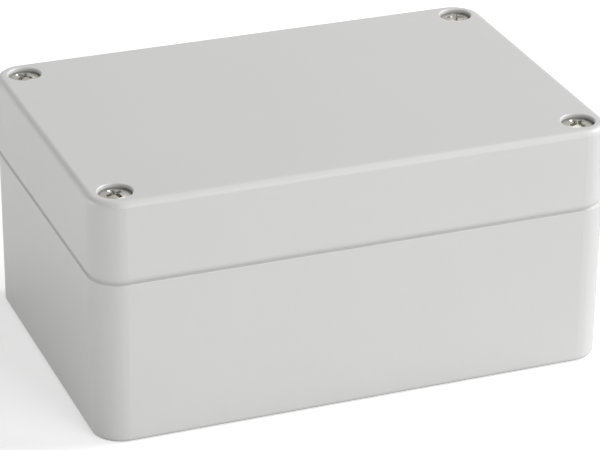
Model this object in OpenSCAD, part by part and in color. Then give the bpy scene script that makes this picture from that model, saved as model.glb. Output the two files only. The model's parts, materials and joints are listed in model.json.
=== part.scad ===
// Sealed plastic project box: a drafted base, a lid with captive screws, and the seal between them.
// Millimetres, +Z up, origin at the centre of the base's underside. The front is -Y and the left is -X.

/* [Box] */
// Outside length at the parting line, left to right
box_length = 120; // [108:1:240]
// Outside width at the parting line, front to back
box_width = 80; // [76:1:160]
// Height of the base, from its underside to the parting line
base_height = 38; // [26:1:120]
// Height of the lid above the parting line
lid_height = 19; // [18:0.5:60]
// Outside radius of the upright corners
corner_radius = 7; // [6.5:0.5:9]
// Radius of the lid's top edge
lid_edge_radius = 1.5; // [0.5:0.1:2]
// Radius of the base's bottom edge
foot_edge_radius = 1; // [0.5:0.1:2]
// Draft of the outside walls, in degrees
draft = 0.3; // [0:0.1:1]

/* [Walls] */
// Thickness of the base's walls
base_wall = 3; // [2.8:0.1:4]
// Thickness of the base's floor
floor_thickness = 3; // [2:0.1:5]
// Thickness of the lid's top
lid_top_thickness = 3; // [2:0.1:4]
// How much thicker the lid's walls are than the base's, which makes the seal's inner lip
lip_extra = 0.4; // [0.2:0.1:1]
// Radius of the cavity's upright inside corners
cavity_radius = 3; // [1:0.5:5]
// Radius of the corner blocks' upright edges
block_edge_radius = 3; // [2.5:0.5:4]

/* [Seal] */
// Distance from the cavity's wall to the lid's groove
groove_inset = 0.6; // [0.4:0.05:0.8]
// Width of the lid's groove
groove_width = 1.3; // [1:0.05:1.4]
// Depth of the lid's groove above the parting line
groove_depth = 3; // [2.5:0.1:4]
// Clearance between the base's tongue and each side of the groove
tongue_clearance = 0.2; // [0.1:0.05:0.3]
// Height of the base's tongue
tongue_height = 1.6; // [1:0.1:2]
// Clearance between the gasket and each side of the groove
gasket_side_clearance = 0.05; // [0.02:0.01:0.1]
// Clearance between the tongue and the gasket with the lid on
gasket_gap = 0.05; // [0.02:0.01:0.2]
// Height of the open gap round the parting line
seam_gap = 0.1; // [0.1:0.05:0.5]
// Depth of that gap, from the outside
seam_gap_depth = 1.3; // [1.2:0.1:2]
// Height of the set-back band on the lid above the gap
seam_band_height = 1.1; // [0.5:0.1:2]
// How far that band is set back
seam_band_depth = 0.6; // [0.2:0.05:0.6]
// Radius that breaks the base's top outside edge
rim_edge_radius = 0.3; // [0.1:0.05:0.5]

/* [Lid screws] */
// Distance from the outside faces to each screw's axis
screw_inset = 6.5; // [6:0.1:7]
// Radius of the well that the head sits in
well_radius = 3.75; // [3.7:0.05:4]
// Chamfer round the well's mouth
well_chamfer = 0.2; // [0.1:0.05:0.4]
// Radius of the screw's head
head_radius = 3.4; // [3:0.05:3.4]
// Height of the head's straight side
head_side_height = 1.7; // [1.5:0.1:2]
// Height of the head's domed crown above its side
head_dome_height = 0.8; // [0.5:0.1:1]
// Depth of the crown below the lid's top
head_recess = 0.4; // [0.2:0.1:1]
// Thickness of the web that the head pulls on
web_thickness = 2; // [1.5:0.1:3]
// Radius of the hole through the web
web_hole_radius = 2.25; // [2.2:0.05:2.5]
// Radius of the screw's thread
thread_radius = 2; // [1.9:0.05:2]
// Pitch of the thread
thread_pitch = 0.7; // [0.5:0.05:0.8]
// Turns that undo the screw
undo_turns = 8; // [4:1:8]
// Radius of the waist between the head and the thread
waist_radius = 1.5; // [1.3:0.05:1.6]
// Chamfer on the screw's tip
tip_chamfer = 0.5; // [0.2:0.1:0.8]
// Width across the driver's cross
cross_width = 4.6; // [3.8:0.1:4.6]
// Width of the cross at its foot
cross_foot_width = 1.8; // [1.2:0.1:2.2]
// Thickness of each wing of the cross
cross_wing = 1.1; // [0.7:0.05:1.1]
// Depth of the cross below the crown
cross_depth = 2; // [1.5:0.1:2]
// Angles that the screws came to rest at, in order front left, front right, back left, back right
screw_turns = [22, 58, 8, 40]; // [0:1:90]

/* [Captive rings] */
// Clearance between the ring and the screw's waist
ring_fit = 0.05; // [0.02:0.01:0.1]
// Outside radius of the ring
ring_radius = 3.2; // [2.8:0.05:3.25]
// Thickness of the ring
ring_thickness = 1; // [0.8:0.1:1.5]
// Radius of the pocket under the web that the ring travels in
pocket_radius = 3.6; // [3.55:0.05:3.8]
// Room left above the ring when the screw is undone
ring_top_clearance = 0.4; // [0.2:0.1:1]

/* [Threaded inserts] */
// Outside radius of the insert
insert_radius = 2.8; // [2.6:0.05:3]
// Length of the insert
insert_length = 8; // [7:0.5:10]
// Depth of the insert's top below the parting line
insert_recess = 0.1; // [0.05:0.05:0.5]
// Depth of the groove round the insert's middle
insert_groove_depth = 0.35; // [0.2:0.05:0.5]
// Width of that groove
insert_groove_width = 1.4; // [1:0.1:2]
// Clearance between the insert and its hole
insert_fit = 0.02; // [0.01:0.01:0.05]
// Clearance between the screw's thread and the insert's bore
thread_fit = 0.05; // [0.02:0.01:0.1]
// Radius of the core hole that goes on below the insert
core_radius = 2.2; // [2.15:0.05:2.4]
// Thickness of the floor below the core hole
core_floor = 5; // [4:0.5:8]

/* [Wall mounting] */
// Distance from the front and back faces to each mounting hole
mount_inset = 17; // [16.5:0.5:20]
// Radius of the mounting holes
mount_hole_radius = 2.25; // [1.6:0.05:2.75]
// Radius of the channel that the mounting screw's head goes down
channel_radius = 4; // [3.5:0.1:4]
// Thickness of the floor under the mounting screw's head
channel_floor = 4; // [3:0.5:8]
// Wall between the channels and the cavity
channel_wall = 3; // [2.8:0.1:4]
// Radius of the core-out over each channel in the lid
core_out_radius = 3.4; // [2.5:0.1:3.5]
// Length of the screw column's part of the corner block, from the outside end face
block_length = 13; // [12.8:0.1:16]

/* [Inside] */
// Spacing of the board bosses, left to right
boss_spacing_x = 80; // [40:1:80]
// Spacing of the board bosses, front to back
boss_spacing_y = 56; // [30:1:60]
// Radius of the board bosses
boss_radius = 3.5; // [3:0.1:4]
// Height of the board bosses above the floor
boss_height = 5; // [3:0.5:10]
// Radius of the pilot holes in the bosses
pilot_radius = 1.3; // [1:0.05:1.6]
// How far the pilot holes go into the floor
pilot_into_floor = 1.2; // [0:0.1:1.5]
// Ribs round each boss
boss_ribs = 4; // [3:1:6]
// Thickness of the ribs
rib_thickness = 1.2; // [0.8:0.1:1.6]
// How far the boss ribs stand out
boss_rib_reach = 2; // [1:0.1:3]
// Height of the boss ribs, as a share of the boss's height
boss_rib_share = 0.7; // [0.4:0.05:0.9]
// Direction of each boss's first rib, in degrees from the box's length
boss_rib_angle = 45; // [0:5:90]
// Number of board slots along each long wall
slots = 3; // [1:1:5]
// Distance between the slots
slot_pitch = 30; // [16:1:35]
// Width of each slot, between its two ribs
slot_width = 1.8; // [1.6:0.1:2.5]
// How far the slot's ribs stand out from the wall
slot_depth = 1.5; // [1:0.1:2.5]
// Distance from the slot's top to the parting line
slot_top_gap = 6; // [3:1:12]

/* [Hidden] */
$fn = 64;

CORNERS = [[-1, -1], [1, -1], [-1, 1], [1, 1]];
SLIVER = 0.01;
THROUGH = 1;
ARC_OVERLAP = 0.003;
DOME_SEGMENTS = 128;

box_height = base_height + lid_height;
straight_x = box_length - 2 * corner_radius;
straight_y = box_width - 2 * corner_radius;

// Cavity: two crossing rounded rectangles, one between the end walls and one between the long walls
end_arm = [box_length / 2 - base_wall, box_width / 2 - mount_inset - channel_radius - channel_wall];
side_arm = [box_length / 2 - block_length, box_width / 2 - base_wall];
ceiling_z = box_height - lid_top_thickness;

// Seal
groove_top_z = base_height + groove_depth;
groove_outer = groove_inset + groove_width;
tongue_top_z = base_height + tongue_height;
gasket_bottom_z = tongue_top_z + gasket_gap;

// Screws, rings and inserts, stacked down from the lid's top
screw_x = box_length / 2 - screw_inset;
screw_y = box_width / 2 - screw_inset;
crown_z = box_height - head_recess;
head_rim_z = crown_z - head_dome_height;
seat_z = head_rim_z - head_side_height;
dome_radius = (head_radius * head_radius + head_dome_height * head_dome_height) / (2 * head_dome_height);
web_bottom_z = seat_z - web_thickness;
screw_rise = undo_turns * thread_pitch;
ring_top_z = web_bottom_z - ring_top_clearance - screw_rise;
shoulder_z = ring_top_z - ring_thickness;
insert_top_z = base_height - insert_recess;
insert_bottom_z = insert_top_z - insert_length;
tip_z = base_height - screw_rise - tip_chamfer + SLIVER;

mount_y = box_width / 2 - mount_inset;
core_out_top_z = web_bottom_z;

// ---- Shared outlines --------------------------------------------------------------------------------

// Rounded rectangle with the given half sizes
module rounded_rectangle(half, radius) {
    square([2 * half[0], 2 * (half[1] - radius)], center = true);
    square([2 * (half[0] - radius), 2 * half[1]], center = true);
    for (c = CORNERS)
        translate([c[0] * (half[0] - radius), c[1] * (half[1] - radius)])
            circle(r = radius);
}

// Fills the sharp corner where the cavity's two arms cross
module arm_fillet(radius) {
    difference() {
        translate([-SLIVER, -SLIVER])
            square(radius + SLIVER);
        translate([radius, radius])
            circle(r = radius);
    }
}

// Outline of the cavity round the four corner blocks, moved outwards by grow
module cavity_outline(grow) {
    out = [grow, grow];
    rounded_rectangle(end_arm + out, cavity_radius + grow);
    rounded_rectangle(side_arm + out, cavity_radius + grow);
    for (c = CORNERS)
        translate([c[0] * (side_arm[0] + grow), c[1] * (end_arm[1] + grow)])
            mirror([c[0] < 0 ? 1 : 0, 0])
                mirror([0, c[1] < 0 ? 1 : 0])
                    arm_fillet(block_edge_radius - grow);
}

// Band that follows the cavity outline between two distances from it
module seal_band(inner, outer) {
    difference() {
        cavity_outline(outer);
        cavity_outline(inner);
    }
}

// Copies its children into the four corners, each mirrored from the back right one
module each_corner() {
    for (c = CORNERS)
        mirror([c[0] < 0 ? 1 : 0, 0, 0])
            mirror([0, c[1] < 0 ? 1 : 0, 0])
                children();
}

// How far a drafted wall has come in at a height from the parting line
function drafted(height) = height * tan(draft);

// Centre of the round on an edge where a wall meets a level face.
// corner is the sharp corner, side is 1 under a top face and -1 over a bottom face, lean is the wall's tilt.
function round_centre(corner, radius, side, lean) =
    [corner[0] - radius * (1 - side * sin(lean)) / cos(lean), corner[1] - side * radius];

// What is cut off a sharp corner to round it; the arc crosses the two faces instead of only touching them
module corner_cutter(corner, radius, side, lean) {
    centre = round_centre(corner, radius, side, lean);
    translate(centre)
        mirror([0, side < 0 ? 1 : 0])
            difference() {
                square(2 * radius);
                circle(r = radius + ARC_OVERLAP);
            }
}

// Body whose four sides and four turned corners share one edge profile, drawn from a corner's centre out
module edged_body(low, high) {
    each_corner()
        translate([straight_x / 2, straight_y / 2])
            rotate_extrude(angle = 90)
                children();
    straight_run(straight_x / 2, straight_y, low, high)
        children();
    rotate(90)
        straight_run(straight_y / 2, straight_x, low, high)
            children();
}

// Section across that body, with an edge profile on each side, drawn out to the length of a straight run
module straight_run(half, length, low, high) {
    rotate([90, 0, 0])
        linear_extrude(length, center = true) {
            for (side = [0, 1])
                mirror([side, 0])
                    translate([half, 0])
                        children();
            translate([-half, low])
                square([2 * half, high - low]);
        }
}

// ---- Base -------------------------------------------------------------------------------------------

// Edge profile of the base: round foot, drafted wall, broken rim
module base_edge() {
    foot = [corner_radius - drafted(base_height), 0];
    rim = [corner_radius, base_height];
    difference() {
        polygon([[0, 0], foot, rim, [0, base_height]]);
        corner_cutter(foot, foot_edge_radius, -1, -draft);
        corner_cutter(rim, rim_edge_radius, 1, -draft);
    }
}

// Board boss with its ribs, standing on the floor
module board_boss() {
    cylinder(r = boss_radius, h = boss_height + SLIVER);
    for (i = [0 : boss_ribs - 1])
        rotate(boss_rib_angle + 360 * i / boss_ribs)
            rotate([90, 0, 0])
                linear_extrude(rib_thickness, center = true)
                    polygon([
                        [0, 0],
                        [boss_radius + boss_rib_reach, 0],
                        [boss_radius - SLIVER, boss_height * boss_rib_share],
                        [0, boss_height * boss_rib_share]
                    ]);
}

// Pair of ribs on a long wall that an upright board slides between
module board_slot() {
    for (side = [-1, 1])
        translate([side * (slot_width + rib_thickness) / 2, side_arm[1] - slot_depth / 2, floor_thickness])
            translate([-rib_thickness / 2, -slot_depth / 2, -SLIVER])
                cube([rib_thickness, slot_depth + SLIVER, base_height - slot_top_gap - floor_thickness]);
}

// Everything cut down into a corner block: the insert's hole, the core below it and the mounting channel
module base_corner_holes() {
    translate([screw_x, screw_y, insert_bottom_z])
        cylinder(r = insert_radius + insert_fit, h = insert_length + THROUGH);
    translate([screw_x, screw_y, core_floor])
        cylinder(r = core_radius, h = base_height);
    translate([screw_x, mount_y, channel_floor])
        cylinder(r = channel_radius, h = base_height);
    translate([screw_x, mount_y, -THROUGH])
        cylinder(r = mount_hole_radius, h = base_height);
}

module base() {
    color("#d0d0cd")
    difference() {
        union() {
            difference() {
                edged_body(0, base_height)
                    base_edge();
                translate([0, 0, floor_thickness])
                    linear_extrude(base_height)
                        cavity_outline(0);
            }
            translate([0, 0, base_height - SLIVER])
                linear_extrude(tongue_height + SLIVER)
                    seal_band(groove_inset + tongue_clearance, groove_outer - tongue_clearance);
            each_corner()
                translate([boss_spacing_x / 2, boss_spacing_y / 2, floor_thickness - SLIVER])
                    board_boss();
            for (side = [0, 1])
                mirror([0, side, 0])
                    for (i = [0 : slots - 1])
                        translate([(i - (slots - 1) / 2) * slot_pitch, 0, 0])
                            board_slot();
        }
        each_corner()
            base_corner_holes();
        each_corner()
            translate([boss_spacing_x / 2, boss_spacing_y / 2, floor_thickness - pilot_into_floor])
                cylinder(r = pilot_radius, h = base_height);
    }
}

// ---- Lid --------------------------------------------------------------------------------------------

// Edge profile of the lid: gap and set-back band at the parting line, drafted wall, round top edge
module lid_edge() {
    gap_z = base_height + seam_gap;
    band_z = gap_z + seam_band_height;
    top = [corner_radius - drafted(lid_height), box_height];
    difference() {
        polygon([
            [0, base_height],
            [corner_radius - seam_gap_depth, base_height],
            [corner_radius - seam_gap_depth, gap_z],
            [corner_radius - seam_band_depth, gap_z],
            [corner_radius - seam_band_depth, band_z],
            [corner_radius - drafted(band_z - base_height), band_z],
            top,
            [0, box_height]
        ]);
        corner_cutter(top, lid_edge_radius, 1, draft);
    }
}

// Everything cut into a corner of the lid: the head's well, the web's hole, the ring's pocket, the core-out
module lid_corner_holes() {
    translate([screw_x, screw_y, 0]) {
        translate([0, 0, seat_z])
            cylinder(r = well_radius, h = box_height);
        translate([0, 0, box_height - well_chamfer])
            cylinder(r1 = well_radius, r2 = well_radius + 2 * well_chamfer, h = 2 * well_chamfer);
        translate([0, 0, base_height])
            cylinder(r = web_hole_radius, h = box_height);
        cylinder(r = pocket_radius, h = web_bottom_z);
    }
    translate([screw_x, mount_y, 0])
        cylinder(r = core_out_radius, h = core_out_top_z);
}

module lid() {
    color("#d0d0cd")
    difference() {
        edged_body(base_height, box_height)
            lid_edge();
        linear_extrude(ceiling_z)
            cavity_outline(-lip_extra);
        linear_extrude(groove_top_z)
            seal_band(groove_inset, groove_outer);
        each_corner()
            lid_corner_holes();
    }
}

// Seal that lies in the top of the lid's groove
module gasket() {
    color("#3a3c3d")
    translate([0, 0, gasket_bottom_z])
        linear_extrude(groove_top_z - gasket_bottom_z)
            seal_band(groove_inset + gasket_side_clearance, groove_outer - gasket_side_clearance);
}

// ---- Screws, rings and inserts ----------------------------------------------------------------------

// Moves its children to a corner's screw axis
module at_screw(corner) {
    translate([CORNERS[corner][0] * screw_x, CORNERS[corner][1] * screw_y, 0])
        children();
}

// Half section of the screw, from its axis outwards
module screw_section() {
    translate([0, tip_z])
        polygon([
            [0, 0],
            [thread_radius - tip_chamfer, 0],
            [thread_radius, tip_chamfer],
            [thread_radius, shoulder_z - tip_z],
            [waist_radius, shoulder_z - tip_z],
            [waist_radius, seat_z - tip_z],
            [head_radius, seat_z - tip_z],
            [head_radius, head_rim_z - tip_z],
            [0, head_rim_z - tip_z]
        ]);
    intersection() {
        translate([0, crown_z - dome_radius])
            circle(r = dome_radius, $fn = DOME_SEGMENTS);
        translate([0, head_rim_z - SLIVER])
            square([head_radius, head_dome_height + 2 * SLIVER]);
    }
}

// Tapered cross that the driver fits
module driver_cross() {
    for (turn = [0, 90])
        rotate([90, 0, turn])
            linear_extrude(cross_wing, center = true)
                polygon([
                    [-cross_foot_width / 2, crown_z - cross_depth],
                    [cross_foot_width / 2, crown_z - cross_depth],
                    [cross_width / 2, crown_z + SLIVER],
                    [-cross_width / 2, crown_z + SLIVER]
                ]);
}

// Captive screw: domed head, thin waist under the web, thread below it
module captive_screw(corner) {
    color("#b9b9b4")
    at_screw(corner)
        rotate(screw_turns[corner])
            difference() {
                rotate_extrude()
                    screw_section();
                driver_cross();
            }
}

// Ring that turns on the screw's waist and keeps the screw in the lid
module captive_ring(corner) {
    color("#ecebe4")
    at_screw(corner)
        translate([0, 0, shoulder_z])
            rotate_extrude()
                translate([waist_radius + ring_fit, 0])
                    square([ring_radius - waist_radius - ring_fit, ring_thickness]);
}

// Brass insert that the screw's thread engages, with a groove that locks it in the base
module threaded_insert(corner) {
    groove_low = (insert_length - insert_groove_width) / 2;
    bore = thread_radius + thread_fit;
    color("#b5974a")
    at_screw(corner)
        translate([0, 0, insert_bottom_z])
            rotate_extrude()
                polygon([
                    [bore, 0],
                    [insert_radius, 0],
                    [insert_radius, groove_low],
                    [insert_radius - insert_groove_depth, groove_low],
                    [insert_radius - insert_groove_depth, groove_low + insert_groove_width],
                    [insert_radius, groove_low + insert_groove_width],
                    [insert_radius, insert_length],
                    [bore, insert_length]
                ]);
}

base();
lid();
gasket();
captive_screw(0);  // screw_front_left
captive_screw(1);  // screw_front_right
captive_screw(2);  // screw_back_left
captive_screw(3);  // screw_back_right
captive_ring(0);  // ring_front_left
captive_ring(1);  // ring_front_right
captive_ring(2);  // ring_back_left
captive_ring(3);  // ring_back_right
threaded_insert(0);  // insert_front_left
threaded_insert(1);  // insert_front_right
threaded_insert(2);  // insert_back_left
threaded_insert(3);  // insert_back_right
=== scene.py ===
"""Finishes a sealed plastic project box: the base and lid, the bead on the base's rim, the lid screws, their
captive rings, the threaded inserts and the seal, and a plain studio for them."""

import json
import math

import bmesh
import bpy
from mathutils import Matrix, Vector

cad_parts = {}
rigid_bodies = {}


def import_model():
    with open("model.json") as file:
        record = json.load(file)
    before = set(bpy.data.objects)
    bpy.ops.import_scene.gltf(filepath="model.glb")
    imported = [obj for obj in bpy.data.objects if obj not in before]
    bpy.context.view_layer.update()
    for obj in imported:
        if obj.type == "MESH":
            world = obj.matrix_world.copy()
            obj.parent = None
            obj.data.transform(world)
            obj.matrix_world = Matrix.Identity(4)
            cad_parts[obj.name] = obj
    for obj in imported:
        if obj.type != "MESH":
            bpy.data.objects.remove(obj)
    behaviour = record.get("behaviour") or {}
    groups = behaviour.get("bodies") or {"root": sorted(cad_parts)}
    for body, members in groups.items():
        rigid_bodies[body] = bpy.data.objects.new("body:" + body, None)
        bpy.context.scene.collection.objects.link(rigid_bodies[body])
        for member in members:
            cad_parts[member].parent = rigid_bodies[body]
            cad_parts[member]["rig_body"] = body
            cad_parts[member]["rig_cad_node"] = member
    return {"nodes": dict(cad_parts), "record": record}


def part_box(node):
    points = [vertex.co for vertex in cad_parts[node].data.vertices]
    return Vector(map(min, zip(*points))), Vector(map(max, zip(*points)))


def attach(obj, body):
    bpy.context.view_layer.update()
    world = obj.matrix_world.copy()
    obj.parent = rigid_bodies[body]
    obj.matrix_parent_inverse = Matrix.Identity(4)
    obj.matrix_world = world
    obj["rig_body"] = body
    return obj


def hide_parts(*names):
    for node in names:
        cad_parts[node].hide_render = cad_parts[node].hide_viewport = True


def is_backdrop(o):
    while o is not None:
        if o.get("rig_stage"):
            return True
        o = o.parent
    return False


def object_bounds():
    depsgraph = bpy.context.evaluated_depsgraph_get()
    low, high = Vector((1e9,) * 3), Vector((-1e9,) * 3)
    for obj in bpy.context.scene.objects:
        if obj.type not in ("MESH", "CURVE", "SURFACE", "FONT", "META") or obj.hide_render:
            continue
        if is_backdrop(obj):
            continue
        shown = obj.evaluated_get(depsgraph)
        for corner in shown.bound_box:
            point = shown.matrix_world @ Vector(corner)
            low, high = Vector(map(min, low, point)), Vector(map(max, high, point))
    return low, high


bl_info = {
    "name": "Plastic project box",
    "version": (1, 0, 0),
    "blender": (4, 5, 0),
    "location": "3D View > Sidebar > Project box",
    "description": "Finishes a sealed plastic project box and lights it in a plain studio",
    "category": "Object",
}

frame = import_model()

MM = 0.001
CORNERS = ("front_left", "front_right", "back_left", "back_right")
# Sides of the turned pieces and of the threads
ROUND_SIDES = 64
THREAD_SIDES = 32
# Rings of points that the domed crown of a screw is turned from
DOME_STEPS = 9
# Teeth of the knurling round an insert
KNURL_TEETH = 28
# Points closer than this are one point
WELD = 0.0005 * MM
# Faces that meet at more than this angle meet in a real edge
SHARP = math.radians(35)
# Radians that a wave texture of scale one turns through in one metre
WAVE_TURN = 20
# Width of the studio's floor, in metres
FLOOR_SIZE = 8


# ---- Values taken from the frame ----------------------------------------------------------------------


def size_across(node):
    """Radius of a round node, from the width of its box."""
    low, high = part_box(node)
    return (high.x - low.x) / 2


def axis_of(node):
    """Point on a round node's upright axis, at height zero."""
    low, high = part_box(node)
    return Vector(((low.x + high.x) / 2, (low.y + high.y) / 2, 0))


def parting_line():
    """Height of the parting line, where the room for the contents leaves the base."""
    rooms = frame["record"]["physics"]["openings"]
    return next(room["box_m"][1][2] for room in rooms if room["name"] == "base_between_end_walls")


def linear(hex_colour):
    """Turns a colour written as sRGB hex into the linear colour that shaders and lamps take."""
    channels = [int(hex_colour[i : i + 2], 16) / 255 for i in (1, 3, 5)]
    return [c / 12.92 if c <= 0.04045 else ((c + 0.055) / 1.055) ** 2.4 for c in channels]


# ---- Settings -----------------------------------------------------------------------------------------


def length(name, description, default_mm):
    """A property for a length, given in millimetres and kept in metres."""
    return bpy.props.FloatProperty(
        name=name, description=description, default=default_mm * MM, unit="LENGTH", precision=5
    )


def colour(name, description, hex_colour):
    """A property for a colour, given as sRGB hex and kept linear."""
    return bpy.props.FloatVectorProperty(
        name=name, description=description, default=linear(hex_colour), subtype="COLOR", size=3, min=0, max=1
    )


def watts(name, description, default):
    """A property for a lamp's power."""
    return bpy.props.FloatProperty(name=name, description=description, default=default, min=0, unit="POWER")


class PROJECTBOX_PG_finish(bpy.types.PropertyGroup):
    """Colours and surface grain of the materials."""

    moulding: colour("Moulding", "Light grey of the moulded base and lid", "#d1d1d0")
    moulding_shade: colour("Moulding shade", "Slightly darker grey that the melt leaves in places", "#cececc")
    steel: colour("Steel", "Colour of the stainless lid screws", "#a3a19a")
    brass: colour("Brass", "Colour of the threaded inserts", "#c3a55f")
    nylon: colour("Nylon", "Colour of the captive rings", "#e9e7de")
    rubber: colour("Rubber", "Colour of the seal", "#303234")
    spark_grain: length("Spark grain", "Size of the grain that the eroded mould leaves on the plastic", 0.45)
    flow_size: length("Flow size", "Size of the soft patches that the melt leaves", 38)
    # Groove reach is how far the ambient occlusion looks for nearby surfaces when it paints shade into the
    # grooves and nooks of the ABS
    groove_reach: length("Groove reach", "Width of the grooves and nooks that hold a little dust", 1.6)


class PROJECTBOX_PG_screw(bpy.types.PropertyGroup):
    """Sizes of the lid screws that their boxes don't give."""

    side_height: length("Side height", "Height of the head's straight side", 2.05)
    dome_height: length("Dome height", "Height of the head's domed crown", 0.45)
    waist_radius: length("Waist radius", "Radius of the waist between the head and the thread", 1.5)
    thread_radius: length("Thread radius", "Radius over the thread's crests", 2)
    thread_depth: length("Thread depth", "Depth of the thread", 0.38)
    pitch: length("Pitch", "Distance between two turns of the thread", 0.7)
    tip_chamfer: length("Tip chamfer", "Chamfer on the screw's tip", 0.5)
    edge_round: length("Edge round", "Radius on the head's edges", 0.07)
    cross_width: length("Cross width", "Width across the driver's cross at the crown", 4.6)
    cross_foot: length("Cross foot", "Width across the driver's cross at its foot", 1.8)
    cross_wing: length("Cross wing", "Thickness of the cross's wings", 1.1)
    cross_depth: length("Cross depth", "Depth of the cross below the crown", 2)
    cross_round: length("Cross round", "Radius on the edges inside the cross", 0.12)
    turns: bpy.props.FloatVectorProperty(
        name="Turns",
        description="Angle that each screw came to rest at, front left, front right, back left, back right",
        default=[math.radians(a) for a in (18, 20, 42, 72)],
        size=4,
        subtype="EULER",
    )


class PROJECTBOX_PG_fittings(bpy.types.PropertyGroup):
    """Sizes of the captive rings, inserts, seal and rim bead that their boxes don't give."""

    ring_bore: length("Ring bore", "Radius of the hole through each captive ring", 1.55)
    ring_round: length("Ring round", "Radius on the ring's edges", 0.12)
    insert_bore: length("Insert bore", "Radius inside the insert's thread", 2.05)
    insert_thread: length("Insert thread", "Depth of the insert's thread", 0.22)
    insert_groove: length("Insert groove", "Depth of the groove round the insert", 0.35)
    insert_groove_width: length("Groove width", "Width of the groove round the insert", 1.4)
    insert_lead: length("Insert lead", "Chamfer on the ends of the insert", 0.3)
    insert_mouth: length("Insert mouth", "Depth of the countersink in the insert's mouth", 0.35)
    knurl_depth: length("Knurl depth", "Depth of the insert's knurling", 0.16)
    seal_round: length("Seal round", "Radius on the seal's edges", 0.22)
    corner_radius: length("Corner radius", "Radius of the box's upright corners at the parting line", 7)
    bead_inset: length("Bead inset", "Distance from the base's outside to the bead on its rim", 0.3)
    bead_width: length("Bead width", "Width of the bead, out to just before the lid's set-back band", 0.28)
    bead_height: length("Bead height", "Height of the bead where it closes the gap", 0.3)
    bead_root: length("Bead root", "Depth of the bead's foot in the base", 0.03)


class PROJECTBOX_PG_studio(bpy.types.PropertyGroup):
    """Camera, lamps and floor."""

    azimuth: bpy.props.FloatProperty(
        name="Azimuth", description="Way that the camera stands round the box", subtype="ANGLE",
        default=math.radians(-21.326),
    )
    elevation: bpy.props.FloatProperty(
        name="Elevation", description="Height of the camera over the horizon", subtype="ANGLE",
        default=math.radians(25.676),
    )
    roll: bpy.props.FloatProperty(
        name="Roll", description="Turn of the camera about its view", subtype="ANGLE",
        default=math.radians(0.541),
    )
    distance: length("Distance", "Distance from the camera to the middle of the box", 680.47)
    aim_right: length("Aim right", "How far right of the box's middle the camera looks", 0.977)
    aim_up: length("Aim up", "How far above the box's middle the camera looks", -3.023)
    lens: bpy.props.FloatProperty(
        name="Lens", description="Focal length on a 36 mm sensor", default=178.98, unit="CAMERA"
    )
    front_power: watts("Front", "Power of the large low lamp in front, which the gloss doesn't mirror", 20.5)
    edge_power: watts("Edge", "Power of the small low lamp in front, which the round edges mirror", 9.5)
    right_power: watts("Right", "Power of the lamp on the right", 36.6)
    left_power: watts("Left", "Power of the low lamp on the left", 4.1)
    back_power: watts("Back", "Power of the small lamp behind", 0.37)
    ambient: bpy.props.FloatProperty(name="Ambient", description="Level of the room's own light", default=0.2)
    floor_lift: bpy.props.FloatProperty(
        name="Floor lift", default=0.45,
        description="Light that the floor adds for the camera alone, so that it shows white",
    )
    floor: colour("Floor", "Colour of the floor", "#ededed")


# ---- Modelling ----------------------------------------------------------------------------------------


def leave_edit_mode():
    """Goes back to object mode, whatever is being edited."""
    if bpy.context.object and bpy.context.object.mode != "OBJECT":
        bpy.ops.object.mode_set(mode="OBJECT")


def clear_selection():
    """Goes back to object mode with nothing selected."""
    leave_edit_mode()
    bpy.ops.object.select_all(action="DESELECT")


def select_only(piece):
    """Leaves one object selected and active."""
    clear_selection()
    piece.select_set(True)
    bpy.context.view_layer.objects.active = piece


def edit(piece):
    """Opens an object for editing with everything selected."""
    select_only(piece)
    bpy.ops.object.mode_set(mode="EDIT")
    bpy.ops.mesh.select_all(action="SELECT")


def select_where(piece, kind, test):
    """In edit mode, selects the verts, edges or faces that pass a test and nothing else."""
    bpy.ops.mesh.select_mode(type={"verts": "VERT", "edges": "EDGE", "faces": "FACE"}[kind])
    bpy.ops.mesh.select_all(action="DESELECT")
    mesh = bmesh.from_edit_mesh(piece.data)
    for element in getattr(mesh, kind):
        element.select_set(test(element))
    bmesh.update_edit_mesh(piece.data)


def apply_modifier(piece, kind, **settings):
    """Adds a modifier with the given settings and applies it."""
    select_only(piece)
    modifier = piece.modifiers.new(kind.title(), kind)
    for key, value in settings.items():
        setattr(modifier, key, value)
    bpy.ops.object.modifier_apply(modifier=modifier.name)


def combine(piece, other, operation):
    """Cuts, joins or intersects a piece with another solid, which is used up."""
    apply_modifier(piece, "BOOLEAN", object=other, operation=operation, solver="EXACT")
    bpy.data.objects.remove(other)


def soften_edges(piece, radius, segments=2, over=SHARP):
    """Rounds every edge sharper than an angle, as tumbling and moulding do."""
    apply_modifier(
        piece, "BEVEL", width=radius, segments=segments, limit_method="ANGLE", angle_limit=over,
        use_clamp_overlap=True, harden_normals=False, miter_outer="MITER_ARC",
    )


def close_up(piece):
    """Merges doubled points, turns every face outwards and shades the piece smooth up to its real edges."""
    edit(piece)
    bpy.ops.mesh.remove_doubles(threshold=WELD)
    bpy.ops.mesh.normals_make_consistent(inside=False)
    leave_edit_mode()
    bpy.ops.object.shade_smooth_by_angle(angle=SHARP)


def turn(section, sides=ROUND_SIDES, closed=False):
    """A turned solid: a circle at the first point of its half section, extruded and scaled to each next one."""
    radius, height = section[0]
    clear_selection()
    bpy.ops.mesh.primitive_circle_add(
        vertices=sides, radius=radius, fill_type="NOTHING" if closed else "NGON", location=(0, 0, height)
    )
    piece = bpy.context.object
    bpy.ops.object.transform_apply(location=True, rotation=True, scale=True)
    edit(piece)
    for next_radius, next_height in list(section[1:]) + ([section[0]] if closed else []):
        bpy.ops.mesh.extrude_region_move(TRANSFORM_OT_translate={"value": (0, 0, next_height - height)})
        grow = next_radius / radius
        bpy.ops.transform.resize(value=(grow, grow, 1), center_override=(0, 0, next_height))
        radius, height = next_radius, next_height
    close_up(piece)
    return piece


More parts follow.
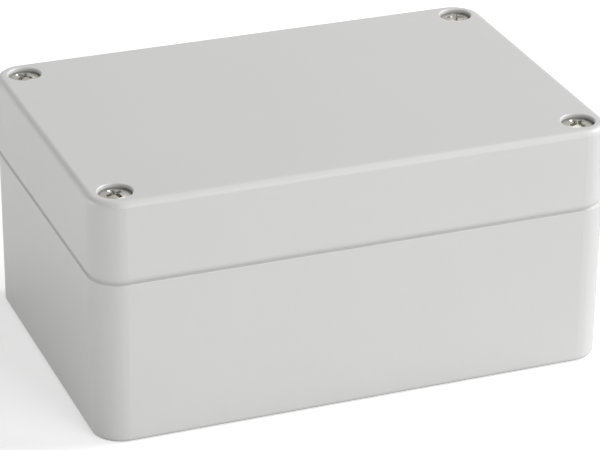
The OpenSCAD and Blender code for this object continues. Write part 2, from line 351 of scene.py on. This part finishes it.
def threaded_rod(core, crest, pitch, low, high):
    """A rod with a ridge wound round it: a small triangle swept along a screw line, joined to a turned core.
    The triangle is set a little into the core, and leaves a narrow land between its turns."""
    depth = crest - core
    bury = 0.25 * depth
    half_foot = 0.42 * pitch
    rod = turn([(core, low), (core, high)], THREAD_SIDES)
    clear_selection()
    bpy.ops.mesh.primitive_circle_add(vertices=4, radius=half_foot, fill_type="NOTHING")
    ridge = bpy.context.object
    edit(ridge)
    bpy.ops.transform.rotate(value=math.radians(90), orient_axis="X", center_override=(0, 0, 0))
    select_where(ridge, "verts", lambda v: abs(v.co.x) > abs(v.co.z) and v.co.x < 0)
    bpy.ops.mesh.delete(type="VERT")
    select_where(ridge, "verts", lambda v: True)
    bpy.ops.mesh.edge_face_add()
    bpy.ops.transform.resize(value=((depth + bury) / half_foot, 1, 1), center_override=(0, 0, 0))
    bpy.ops.transform.translate(value=(core - bury, 0, low))
    turns = (high - low) / pitch
    whole = math.ceil(turns) + 1
    bpy.ops.transform.translate(value=(0, 0, -pitch / 2))
    leave_edit_mode()
    apply_modifier(
        ridge, "SCREW", angle=math.tau, screw_offset=pitch, iterations=whole, steps=THREAD_SIDES,
        render_steps=THREAD_SIDES, use_merge_vertices=False,
    )
    edit(ridge)
    bpy.ops.mesh.remove_doubles(threshold=WELD)
    bpy.ops.mesh.fill_holes(sides=4)
    close_up(ridge)
    combine(rod, ridge, "UNION")
    return rod


def copy_to(piece, name, place, angle=0.0):
    """A copy of a piece with its own mesh, turned about its axis and moved, with its place in its mesh."""
    select_only(piece)
    bpy.ops.object.duplicate(linked=False)
    made = bpy.context.object
    made.name = name
    made.data.name = name
    made.location = place
    made.rotation_euler = (0, 0, angle)
    bpy.ops.object.transform_apply(location=True, rotation=True, scale=True)
    return made


def finish_piece(piece, body, node, material):
    """Gives a piece its material and slot, and lets it stand for a node and move with a body."""
    piece.data.materials.clear()
    piece.data.materials.append(material)
    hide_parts(node)
    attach(piece, body)


# ---- Materials ----------------------------------------------------------------------------------------


def add_node(material, kind, settings=None, links=None):
    """Adds a node, sets its properties and sockets, and links its inputs to other nodes' outputs."""
    node = material.node_tree.nodes.new("ShaderNode" + kind)
    for key, value in (settings or {}).items():
        if isinstance(key, str) and hasattr(node, key):
            setattr(node, key, value)
        else:
            node.inputs[key].default_value = value
    for key, (source, output) in (links or {}).items():
        material.node_tree.links.new(source.outputs[output], node.inputs[key])
    return node


def new_material(name):
    """An empty node material with its output node."""
    material = bpy.data.materials.new(name)
    material.use_nodes = True
    material.node_tree.nodes.clear()
    return material, add_node(material, "OutputMaterial")


def show(material, output, shader):
    """Links a shader to the material's surface."""
    material.node_tree.links.new(shader.outputs[0], output.inputs["Surface"])


def per_size(size):
    """Scale of a noise whose patches are as large as the given size."""
    return 1 / size


def opaque(rgb):
    """A colour with full alpha, as sockets take it."""
    return (*rgb, 1)


def moulded_abs(finish):
    """Light grey ABS from a spark-eroded mould: a satin sheen over a grain just too fine to count, soft
    patches of the melt that keep the broad faces from looking painted, and painted shade that darkens its
    colour in the grooves and nooks. The real grain is some 0.05 mm across and is drawn coarser so that it
    shows."""
    material, output = new_material("moulded_abs")
    place = add_node(material, "TexCoord")
    grain = add_node(
        material, "TexNoise", {"Scale": per_size(finish.spark_grain), "Detail": 3, "Roughness": 0.65},
        {"Vector": (place, "Object")},
    )
    flow = add_node(
        material, "TexNoise", {"Scale": per_size(finish.flow_size), "Detail": 2, "Roughness": 0.5},
        {"Vector": (place, "Object")},
    )
    tint = add_node(
        material, "Mix",
        {"data_type": "RGBA", 6: opaque(finish.moulding_shade), 7: opaque(finish.moulding)},
        {0: (flow, "Fac")},
    )
    # Painted shade: an ambient occlusion node darkens the moulding's colour, down to 0.84 of it, in grooves,
    # wells and nooks within the groove reach
    nooks = add_node(material, "AmbientOcclusion", {"samples": 12, "Distance": finish.groove_reach})
    painted_shade = add_node(
        material, "MapRange", {"From Min": 0.35, "From Max": 0.95, "To Min": 0.84, "To Max": 1},
        {"Value": (nooks, "AO")},
    )
    shaded_colour = add_node(
        material, "Mix", {"data_type": "RGBA", "blend_type": "MULTIPLY", 0: 1},
        {6: (tint, 2), 7: (painted_shade, "Result")},
    )
    gloss = add_node(
        material, "MapRange", {"To Min": 0.46, "To Max": 0.38}, {"Value": (flow, "Fac")}
    )
    relief = add_node(
        material, "Bump", {"Strength": 0.35, "Distance": 0.02 * MM}, {"Height": (grain, "Fac")}
    )
    shader = add_node(
        material, "BsdfPrincipled", {"IOR": 1.54},
        {"Base Color": (shaded_colour, 2), "Roughness": (gloss, "Result"), "Normal": (relief, "Normal")},
    )
    show(material, output, shader)
    return material


def cold_headed_stainless(finish):
    """Stainless steel wire, headed cold and tumbled: bright, with small soft dents that break up what it
    mirrors, and finer scuffs that dull it in places."""
    material, output = new_material("cold_headed_stainless")
    place = add_node(material, "TexCoord")
    dent_size, scuff_size = 0.6 * MM, 0.25 * MM
    dents = add_node(
        material, "TexNoise", {"Scale": per_size(dent_size), "Detail": 3, "Roughness": 0.6},
        {"Vector": (place, "Object")},
    )
    scuffs = add_node(
        material, "TexNoise", {"Scale": per_size(scuff_size), "Detail": 2}, {"Vector": (place, "Object")}
    )
    gloss = add_node(material, "MapRange", {"To Min": 0.16, "To Max": 0.34}, {"Value": (scuffs, "Fac")})
    relief = add_node(
        material, "Bump", {"Strength": 0.4, "Distance": 0.02 * MM}, {"Height": (dents, "Fac")}
    )
    shader = add_node(
        material, "BsdfPrincipled", {"Base Color": opaque(finish.steel), "Metallic": 1},
        {"Roughness": (gloss, "Result"), "Normal": (relief, "Normal")},
    )
    show(material, output, shader)
    return material


def turned_brass(finish):
    """Free-cutting brass, turned: fine rings from the tool one above the other, and a faint tarnish."""
    material, output = new_material("turned_brass")
    # Height in which the wave of the rings turns through one radian, and size of the tarnished patches
    ring_radian, tarnish_size = 0.12 * MM, 1.5 * MM
    place = add_node(material, "TexCoord")
    rings = add_node(
        material, "TexWave",
        {"bands_direction": "Z", "Scale": per_size(ring_radian) / WAVE_TURN, "Distortion": 0.4, "Detail": 1},
        {"Vector": (place, "Object")},
    )
    tarnish = add_node(
        material, "TexNoise", {"Scale": per_size(tarnish_size), "Detail": 3}, {"Vector": (place, "Object")}
    )
    tint = add_node(
        material, "Mix",
        {"data_type": "RGBA", 6: opaque([c * 0.8 for c in finish.brass]), 7: opaque(finish.brass)},
        {0: (tarnish, "Fac")},
    )
    gloss = add_node(material, "MapRange", {"To Min": 0.22, "To Max": 0.4}, {"Value": (tarnish, "Fac")})
    relief = add_node(
        material, "Bump", {"Strength": 0.3, "Distance": 0.01 * MM}, {"Height": (rings, "Fac")}
    )
    shader = add_node(
        material, "BsdfPrincipled", {"Metallic": 1},
        {"Base Color": (tint, 2), "Roughness": (gloss, "Result"), "Normal": (relief, "Normal")},
    )
    show(material, output, shader)
    return material


def natural_nylon(finish):
    """Undyed nylon, moulded: milky, a little light goes through it, and its skin is waxy."""
    material, output = new_material("natural_nylon")
    cloud_size, glow_depth = 1.2 * MM, 0.6 * MM
    place = add_node(material, "TexCoord")
    cloud = add_node(
        material, "TexNoise", {"Scale": per_size(cloud_size), "Detail": 2}, {"Vector": (place, "Object")}
    )
    gloss = add_node(material, "MapRange", {"To Min": 0.34, "To Max": 0.46}, {"Value": (cloud, "Fac")})
    relief = add_node(
        material, "Bump", {"Strength": 0.25, "Distance": 0.01 * MM}, {"Height": (cloud, "Fac")}
    )
    shader = add_node(
        material, "BsdfPrincipled",
        {
            "Base Color": opaque(finish.nylon),
            "IOR": 1.53,
            "Subsurface Weight": 0.3,
            "Subsurface Scale": glow_depth,
        },
        {"Roughness": (gloss, "Result"), "Normal": (relief, "Normal")},
    )
    show(material, output, shader)
    return material


def foamed_neoprene(finish):
    """Closed-cell rubber cord: dark and dull, pitted all over with tiny pores."""
    material, output = new_material("foamed_neoprene")
    pore_size = 0.25 * MM
    place = add_node(material, "TexCoord")
    pores = add_node(
        material, "TexVoronoi", {"feature": "SMOOTH_F1", "Scale": per_size(pore_size)},
        {"Vector": (place, "Object")},
    )
    # Painted shade: the pits of the pores, which the bump sinks, are painted darker than the rubber between
    # them, down to 0.6 of its colour
    tint = add_node(
        material, "Mix",
        {"data_type": "RGBA", 6: opaque([c * 0.6 for c in finish.rubber]), 7: opaque(finish.rubber)},
        {0: (pores, "Distance")},
    )
    relief = add_node(
        material, "Bump", {"Strength": 0.6, "Distance": 0.05 * MM}, {"Height": (pores, "Distance")}
    )
    shader = add_node(
        material, "BsdfPrincipled", {"IOR": 1.52, "Roughness": 0.78},
        {"Base Color": (tint, 2), "Normal": (relief, "Normal")},
    )
    show(material, output, shader)
    return material


def white_floor(studio):
    """Matt white studio floor: it keeps the box's shadow, and light for the camera alone makes it white."""
    material, output = new_material("white_floor")
    rays = add_node(material, "LightPath")
    matt = add_node(material, "BsdfDiffuse", {"Color": opaque(studio.floor), "Roughness": 0.5})
    lift = add_node(material, "Emission", {"Color": (1, 1, 1, 1), "Strength": studio.floor_lift})
    dark = add_node(material, "Emission", {"Color": (0, 0, 0, 1), "Strength": 0})
    seen = add_node(
        material, "MixShader", None, {0: (rays, "Is Camera Ray"), 1: (dark, 0), 2: (lift, 0)}
    )
    both = add_node(material, "AddShader", None, {0: (matt, 0), 1: (seen, 0)})
    show(material, output, both)
    return material


# ---- Operators ----------------------------------------------------------------------------------------


class PROJECTBOX_OT_mouldings(bpy.types.Operator):
    """Give the moulded base and lid their satin finish"""

    bl_idname = "projectbox.mouldings"
    bl_label = "Mouldings"

    def execute(self, context):
        material = moulded_abs(context.scene.projectbox_finish)
        for node in ("base", "lid"):
            for slot in frame["nodes"][node].material_slots:
                slot.material = material
        return {"FINISHED"}


def screw_blank(screw, head_radius, crown, rim, shoulder, tip):
    """The screw without its recess and thread: tip, shank, waist and domed head."""
    seat = rim - screw.side_height
    core = screw.thread_radius - screw.thread_depth
    dome = (head_radius**2 + screw.dome_height**2) / (2 * screw.dome_height)
    section = [(core - screw.tip_chamfer / 2, tip), (core, tip + screw.tip_chamfer / 2), (core, shoulder)]
    section += [(screw.waist_radius, shoulder), (screw.waist_radius, seat), (head_radius, seat)]
    for step in range(DOME_STEPS):
        radius = head_radius * (1 - step / DOME_STEPS)
        section.append((radius, crown - dome + math.sqrt(dome**2 - radius**2)))
    return turn(section)


def driver_cross(screw, crown):
    """Solid of the driver's tip: two tapered wings across each other, with softened edges. It reaches a little
    above the crown, so that it cuts through it."""
    wings = []
    above = 0.4 * MM
    thinning = 0.8
    wide = screw.cross_width + (screw.cross_width - screw.cross_foot) * above / screw.cross_depth
    foot = (screw.cross_foot / wide, thinning, 1)
    for angle in (0, 90):
        clear_selection()
        bpy.ops.mesh.primitive_cube_add(size=1, location=(0, 0, crown + (above - screw.cross_depth) / 2))
        wing = bpy.context.object
        wing.scale = (wide, screw.cross_wing, screw.cross_depth + above)
        bpy.ops.object.transform_apply(location=True, rotation=True, scale=True)
        edit(wing)
        select_where(wing, "verts", lambda v: v.co.z < crown - screw.cross_depth / 2)
        bpy.ops.transform.resize(value=foot, center_override=(0, 0, crown))
        leave_edit_mode()
        wing.rotation_euler = (0, 0, math.radians(angle))
        bpy.ops.object.transform_apply(location=True, rotation=True, scale=True)
        wings.append(wing)
    combine(wings[0], wings[1], "UNION")
    soften_edges(wings[0], screw.cross_round)
    return wings[0]


class PROJECTBOX_OT_rim_bead(bpy.types.Operator):
    """Model the low sloping bead on the base's rim that closes the gap in front of the lid's set-back band"""

    bl_idname = "projectbox.rim_bead"
    bl_label = "Rim bead"

    def execute(self, context):
        fittings = context.scene.projectbox_fittings
        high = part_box("base")[1]
        line = parting_line()
        toe = fittings.corner_radius - fittings.bead_inset
        crest = toe - fittings.bead_width
        foot = line - fittings.bead_root
        top = line + fittings.bead_height
        bead = turn([(crest, foot), (toe, foot), (toe, line), (crest, top)], closed=True)
        half_step = math.pi / ROUND_SIDES
        bead.rotation_euler = (0, 0, half_step)
        bpy.ops.object.transform_apply(location=True, rotation=True, scale=True)
        edit(bead)
        for way in (Vector((1, 0, 0)), Vector((-1, 0, 0)), Vector((0, 1, 0)), Vector((0, -1, 0))):
            straight = abs(high.dot(way)) - fittings.corner_radius
            select_where(bead, "verts", lambda v: v.co.dot(way) > 0)
            bpy.ops.transform.translate(value=way * straight)
        leave_edit_mode()
        close_up(bead)
        bead.name = "rim_bead"
        bead.data.name = "rim_bead"
        bead.data.materials.append(bpy.data.materials["moulded_abs"])
        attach(bead, "base")
        return {"FINISHED"}


class PROJECTBOX_OT_lid_screws(bpy.types.Operator):
    """Model one captive lid screw and set a copy of it in each corner"""

    bl_idname = "projectbox.lid_screws"
    bl_label = "Lid screws"

    def execute(self, context):
        screw = context.scene.projectbox_screw
        low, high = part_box("screw_front_left")
        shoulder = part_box("ring_front_left")[0].z
        rim = high.z - screw.dome_height
        blank = screw_blank(screw, size_across("screw_front_left"), high.z, rim, shoulder, low.z)
        combine(blank, driver_cross(screw, high.z), "DIFFERENCE")
        soften_edges(blank, screw.edge_round)
        core = screw.thread_radius - screw.thread_depth
        thread = threaded_rod(core, screw.thread_radius, screw.pitch, low.z, shoulder)
        tip_radius = screw.thread_radius - screw.tip_chamfer
        envelope = turn(
            [
                (tip_radius, low.z),
                (screw.thread_radius, low.z + screw.tip_chamfer),
                (screw.thread_radius, shoulder - screw.thread_depth),
                (core, shoulder),
            ]
        )
        combine(thread, envelope, "INTERSECT")
        combine(blank, thread, "UNION")
        close_up(blank)
        material = cold_headed_stainless(context.scene.projectbox_finish)
        for corner, angle in zip(CORNERS, screw.turns):
            node = "screw_" + corner
            made = copy_to(blank, "lid_screw_" + corner, axis_of(node), angle)
            finish_piece(made, node, node, material)
        bpy.data.objects.remove(blank)
        return {"FINISHED"}


class PROJECTBOX_OT_captive_rings(bpy.types.Operator):
    """Model one captive ring and set a copy of it on each screw's waist"""

    bl_idname = "projectbox.captive_rings"
    bl_label = "Captive rings"

    def execute(self, context):
        fittings = context.scene.projectbox_fittings
        low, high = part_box("ring_front_left")
        outside = size_across("ring_front_left")
        bore = fittings.ring_bore
        ring = turn([(bore, low.z), (outside, low.z), (outside, high.z), (bore, high.z)], closed=True)
        soften_edges(ring, fittings.ring_round, segments=3)
        close_up(ring)
        material = natural_nylon(context.scene.projectbox_finish)
        for corner in CORNERS:
            node = "ring_" + corner
            made = copy_to(ring, "captive_ring_" + corner, axis_of(node))
            finish_piece(made, node, node, material)
        bpy.data.objects.remove(ring)
        return {"FINISHED"}


def knurled_body(fittings, outside, low, high):
    """The insert before it is bored: a toothed disc extruded into two bands with a groove between them."""
    groove_low = (low + high - fittings.insert_groove_width) / 2
    groove_high = groove_low + fittings.insert_groove_width
    lead = fittings.insert_lead
    clear_selection()
    bpy.ops.mesh.primitive_circle_add(
        vertices=3 * KNURL_TEETH, radius=outside, fill_type="NGON", location=(0, 0, low)
    )
    body = bpy.context.object
    bpy.ops.object.transform_apply(location=True, rotation=True, scale=True)
    edit(body)
    tooth = math.tau / KNURL_TEETH
    select_where(
        body, "verts", lambda v: abs((math.atan2(v.co.y, v.co.x) + tooth / 6) % tooth) < tooth / 3
    )
    root = (outside - fittings.knurl_depth) / outside
    bpy.ops.transform.resize(value=(root, root, 1), center_override=(0, 0, low))
    bpy.ops.mesh.select_all(action="SELECT")
    bpy.ops.mesh.select_mode(type="FACE")
    slim = (outside - fittings.insert_groove) / outside
    narrow = (outside - lead) / outside
    steps = [
        (low + lead, 1 / narrow),
        (groove_low, 1),
        (groove_low, slim),
        (groove_high, 1),
        (groove_high, 1 / slim),
        (high - lead, 1),
        (high, narrow),
    ]
    bpy.ops.transform.resize(value=(narrow, narrow, 1), center_override=(0, 0, low))
    height = low
    for next_height, grow in steps:
        bpy.ops.mesh.extrude_region_move(TRANSFORM_OT_translate={"value": (0, 0, next_height - height)})
        bpy.ops.transform.resize(value=(grow, grow, 1), center_override=(0, 0, next_height))
        height = next_height
    close_up(body)
    return body


class PROJECTBOX_OT_threaded_inserts(bpy.types.Operator):
    """Model one knurled and threaded insert and set a copy of it under each screw"""

    bl_idname = "projectbox.threaded_inserts"
    bl_label = "Threaded inserts"

    def execute(self, context):
        fittings = context.scene.projectbox_fittings
        screw = context.scene.projectbox_screw
        low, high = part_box("insert_front_left")
        body = knurled_body(fittings, size_across("insert_front_left"), low.z, high.z)
        bore = fittings.insert_bore
        past = screw.pitch
        tap = threaded_rod(bore, bore + fittings.insert_thread, screw.pitch, low.z - past, high.z + past)
        combine(body, tap, "DIFFERENCE")
        mouth = fittings.insert_mouth
        countersink = turn([(bore, high.z - mouth), (bore + 2 * mouth, high.z + mouth)])
        combine(body, countersink, "DIFFERENCE")
        close_up(body)
        material = turned_brass(context.scene.projectbox_finish)
        for corner in CORNERS:
            node = "insert_" + corner
            made = copy_to(body, "threaded_insert_" + corner, axis_of(node))
            finish_piece(made, "base", node, material)
        bpy.data.objects.remove(body)
        return {"FINISHED"}


class PROJECTBOX_OT_seal(bpy.types.Operator):
    """Round the edges of the seal and give it its rubber"""

    bl_idname = "projectbox.seal"
    bl_label = "Seal"

    def execute(self, context):
        select_only(frame["nodes"]["gasket"])
        bpy.ops.object.duplicate(linked=False)
        seal = bpy.context.object
        bpy.ops.object.parent_clear(type="CLEAR_KEEP_TRANSFORM")
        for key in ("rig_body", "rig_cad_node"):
            del seal[key]
        seal.name = "lid_seal"
        seal.data.name = "lid_seal"
        bpy.ops.mesh.customdata_custom_splitnormals_clear()
        edit(seal)
        bpy.ops.mesh.remove_doubles(threshold=WELD)
        bpy.ops.mesh.dissolve_limited(angle_limit=math.radians(0.5))
        leave_edit_mode()
        soften_edges(seal, context.scene.projectbox_fittings.seal_round, segments=4, over=math.radians(60))
        close_up(seal)
        finish_piece(seal, "lid", "gasket", foamed_neoprene(context.scene.projectbox_finish))
        return {"FINISHED"}


def add_softbox(name, power, aim, azimuth, elevation, distance, width, height, mirrored=True):
    """A soft rectangular lamp that looks at the box from a direction round it, out of the camera's sight. One
    that isn't mirrored lights the surfaces without showing in their gloss."""
    lamp = bpy.data.lights.new(name, "AREA")
    lamp.shape = "RECTANGLE"
    lamp.size = width
    lamp.size_y = height
    lamp.energy = power
    softbox = bpy.data.objects.new(name, lamp)
    bpy.context.scene.collection.objects.link(softbox)
    turn_round, rise = math.radians(azimuth), math.radians(elevation)
    away = Vector(
        (math.sin(turn_round) * math.cos(rise), -math.cos(turn_round) * math.cos(rise), math.sin(rise))
    )
    softbox.location = aim + away * distance
    softbox.rotation_mode = "QUATERNION"
    softbox.rotation_quaternion = (-away).to_track_quat("-Z", "Y")
    softbox.visible_camera = False
    softbox.visible_glossy = mirrored


def add_camera(studio, middle):
    """The camera, at its angle round the box, with its own small roll and aim."""
    lens = bpy.data.cameras.new("camera")
    lens.sensor_width = 36
    lens.lens = studio.lens
    lens.clip_start = 0.01
    lens.clip_end = 20
    camera = bpy.data.objects.new("camera", lens)
    bpy.context.scene.collection.objects.link(camera)
    back = Vector(
        (
            math.sin(studio.azimuth) * math.cos(studio.elevation),
            -math.cos(studio.azimuth) * math.cos(studio.elevation),
            math.sin(studio.elevation),
        )
    )
    level_right = Vector((0, 0, 1)).cross(back).normalized()
    level_up = back.cross(level_right)
    right = math.cos(studio.roll) * level_right + math.sin(studio.roll) * level_up
    up = back.cross(right)
    place = middle + back * studio.distance + right * studio.aim_right + up * studio.aim_up
    camera.matrix_world = Matrix.Translation(place) @ Matrix((right, up, back)).transposed().to_4x4()
    bpy.context.scene.camera = camera


def light_room(studio):
    """The room: white where the camera and clear reflections see it, and a soft grey light elsewhere."""
    world = bpy.data.worlds.new("room")
    bpy.context.scene.world = world
    world.use_nodes = True
    world.node_tree.nodes.clear()
    output = add_node(world, "OutputWorld")
    rays = add_node(world, "LightPath")
    white = add_node(world, "Background", {"Color": (1, 1, 1, 1), "Strength": 1})
    soft = add_node(world, "Background", {"Color": (1, 1, 1, 1), "Strength": studio.ambient})
    seen = add_node(
        world, "Math", {"operation": "MAXIMUM"}, {0: (rays, "Is Camera Ray"), 1: (rays, "Is Glossy Ray")}
    )
    clear = add_node(
        world, "Math", {"operation": "MAXIMUM"}, {0: (seen, 0), 1: (rays, "Is Transmission Ray")}
    )
    mixed = add_node(world, "MixShader", None, {0: (clear, 0), 1: (soft, 0), 2: (white, 0)})
    show(world, output, mixed)


class PROJECTBOX_OT_studio(bpy.types.Operator):
    """Set up the floor, the lamps, the room and the camera"""

    bl_idname = "projectbox.studio"
    bl_label = "Studio"

    def execute(self, context):
        studio = context.scene.projectbox_studio
        low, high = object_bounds()
        middle = (low + high) / 2
        clear_selection()
        bpy.ops.mesh.primitive_plane_add(size=FLOOR_SIZE, location=(0, 0, low.z))
        floor = context.object
        floor.name = "floor"
        bpy.ops.object.transform_apply(location=True, rotation=True, scale=True)
        floor.data.materials.append(white_floor(studio))
        floor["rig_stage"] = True
        add_softbox(
            "front_lamp", studio.front_power, middle,
            azimuth=36, elevation=12, distance=2.2, width=1.2, height=0.6, mirrored=False,
        )
        add_softbox(
            "edge_lamp", studio.edge_power, middle,
            azimuth=14, elevation=14, distance=2.2, width=0.5, height=0.3,
        )
        add_softbox(
            "right_lamp", studio.right_power, middle,
            azimuth=90, elevation=42, distance=2.2, width=1.2, height=0.8,
        )
        add_softbox(
            "left_lamp", studio.left_power, middle,
            azimuth=-108, elevation=8, distance=1.1, width=0.6, height=0.3,
        )
        add_softbox(
            "back_lamp", studio.back_power, middle,
            azimuth=152, elevation=44, distance=1.1, width=0.22, height=0.18,
        )
        light_room(studio)
        add_camera(studio, middle)
        context.scene.view_settings.view_transform = "Standard"
        return {"FINISHED"}


# ---- Panel and registration ---------------------------------------------------------------------------


class PROJECTBOX_PT_panel(bpy.types.Panel):
    """Lists the steps that finish the box, with their settings"""

    bl_label = "Project box"
    bl_idname = "PROJECTBOX_PT_panel"
    bl_space_type = "VIEW_3D"
    bl_region_type = "UI"
    bl_category = "Project box"

    def draw(self, context):
        for operator in STEPS:
            self.layout.operator(operator.bl_idname)
        for group in GROUPS:
            settings = getattr(context.scene, group)
            for key in settings.bl_rna.properties.keys():
                if key not in ("rna_type", "name"):
                    self.layout.prop(settings, key)


GROUPS = {
    "projectbox_finish": PROJECTBOX_PG_finish,
    "projectbox_screw": PROJECTBOX_PG_screw,
    "projectbox_fittings": PROJECTBOX_PG_fittings,
    "projectbox_studio": PROJECTBOX_PG_studio,
}
STEPS = (
    PROJECTBOX_OT_mouldings,
    PROJECTBOX_OT_rim_bead,
    PROJECTBOX_OT_lid_screws,
    PROJECTBOX_OT_captive_rings,
    PROJECTBOX_OT_threaded_inserts,
    PROJECTBOX_OT_seal,
    PROJECTBOX_OT_studio,
)


def register():
    """Registers the settings, the steps and the panel."""
    for name, group in GROUPS.items():
        bpy.utils.register_class(group)
        setattr(bpy.types.Scene, name, bpy.props.PointerProperty(type=group))
    for step in STEPS:
        bpy.utils.register_class(step)
    bpy.utils.register_class(PROJECTBOX_PT_panel)


def unregister():
    """Takes them out again."""
    bpy.utils.unregister_class(PROJECTBOX_PT_panel)
    for step in reversed(STEPS):
        bpy.utils.unregister_class(step)
    for name, group in reversed(GROUPS.items()):
        delattr(bpy.types.Scene, name)
        bpy.utils.unregister_class(group)


def main():
    """Registers the steps and runs every one of them in order."""
    register()
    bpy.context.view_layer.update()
    bpy.ops.projectbox.mouldings()
    bpy.ops.projectbox.rim_bead()
    bpy.ops.projectbox.lid_screws()
    bpy.ops.projectbox.captive_rings()
    bpy.ops.projectbox.threaded_inserts()
    bpy.ops.projectbox.seal()
    bpy.ops.projectbox.studio()


if __name__ == "__main__":
    main()
